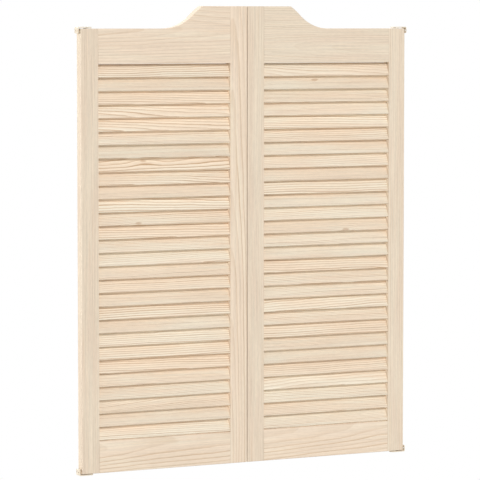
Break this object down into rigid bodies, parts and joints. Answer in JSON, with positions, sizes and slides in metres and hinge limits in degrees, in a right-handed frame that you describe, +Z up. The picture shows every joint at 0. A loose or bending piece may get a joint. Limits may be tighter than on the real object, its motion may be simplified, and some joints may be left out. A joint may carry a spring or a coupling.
{
  "type": "louvred cafe swing doors",
  "caption": "Louvred pine cafe doors with a swept crest; each leaf swings both ways on sprung pivots in enamelled brackets screwed to the door jambs.",
  "frame": {"origin": "the middle of the doorway, half way through the leaves and level with their bottom edges", "axes": "+Z is up and the longest side, X runs from the left jamb to the right one, and the front faces -Y, the shortest side"},
  "size_m": [0.8002, 0.021, 0.9963],
  "materials": {
    "frame_pine": "bare sanded pine",
    "slat_pine": "bare planed pine",
    "dowel_beech": "bare beech",
    "cream_enamel": "cream enamel on steel",
    "zinc_steel": "zinc plated",
    "spring_steel": "oiled spring wire",
    "nylon": "natural nylon"
  },
  "bodies": {
    "jamb_fittings": {"left_bottom_pin": "zinc_steel", "left_bottom_jamb_bracket": "cream_enamel", "left_top_pin": "zinc_steel", "left_top_jamb_bracket": "cream_enamel", "right_bottom_pin": "zinc_steel", "right_bottom_jamb_bracket": "cream_enamel", "right_top_pin": "zinc_steel", "right_top_jamb_bracket": "cream_enamel"},
    "left_leaf": {"left_hinge_stile": "frame_pine", "left_meeting_stile": "frame_pine", "left_top_rail": "frame_pine", "left_bottom_rail": "frame_pine", "left_bottom_hinge_dowel_1": "dowel_beech", "left_bottom_hinge_dowel_2": "dowel_beech", "left_bottom_meeting_dowel_1": "dowel_beech", "left_bottom_meeting_dowel_2": "dowel_beech", "left_top_hinge_dowel_1": "dowel_beech", "left_top_hinge_dowel_2": "dowel_beech", "left_top_meeting_dowel_1": "dowel_beech", "left_top_meeting_dowel_2": "dowel_beech", "left_slat_bank_1": "slat_pine", "left_slat_bank_2": "slat_pine", "left_slat_bank_3": "slat_pine", "left_slat_bank_4": "slat_pine", "left_slat_bank_5": "slat_pine", "left_slat_bank_6": "slat_pine", "left_slat_bank_7": "slat_pine", "left_bottom_bush": "nylon", "left_top_bush": "nylon", "left_return_spring": "spring_steel"},
    "right_leaf": {"right_hinge_stile": "frame_pine", "right_meeting_stile": "frame_pine", "right_top_rail": "frame_pine", "right_bottom_rail": "frame_pine", "right_bottom_hinge_dowel_1": "dowel_beech", "right_bottom_hinge_dowel_2": "dowel_beech", "right_bottom_meeting_dowel_1": "dowel_beech", "right_bottom_meeting_dowel_2": "dowel_beech", "right_top_hinge_dowel_1": "dowel_beech", "right_top_hinge_dowel_2": "dowel_beech", "right_top_meeting_dowel_1": "dowel_beech", "right_top_meeting_dowel_2": "dowel_beech", "right_slat_bank_1": "slat_pine", "right_slat_bank_2": "slat_pine", "right_slat_bank_3": "slat_pine", "right_slat_bank_4": "slat_pine", "right_slat_bank_5": "slat_pine", "right_slat_bank_6": "slat_pine", "right_slat_bank_7": "slat_pine", "right_bottom_bush": "nylon", "right_top_bush": "nylon", "right_return_spring": "spring_steel"}
  },
  "joints": [
    {"name": "left_leaf_swing", "type": "hinge", "parent": "jamb_fittings", "child": "left_leaf", "pos_m": [-0.37445, 0, 0], "axis": [0, 0, 1], "range_deg": [-90, 90], "stiffness_Nm_per_rad": 0.8, "deforming": ["left_return_spring"]},
    {"name": "right_leaf_swing", "type": "hinge", "parent": "jamb_fittings", "child": "right_leaf", "pos_m": [0.37445, 0, 0], "axis": [0, 0, 1], "range_deg": [-90, 90], "stiffness_Nm_per_rad": 0.8, "deforming": ["right_return_spring"]}
  ]
}
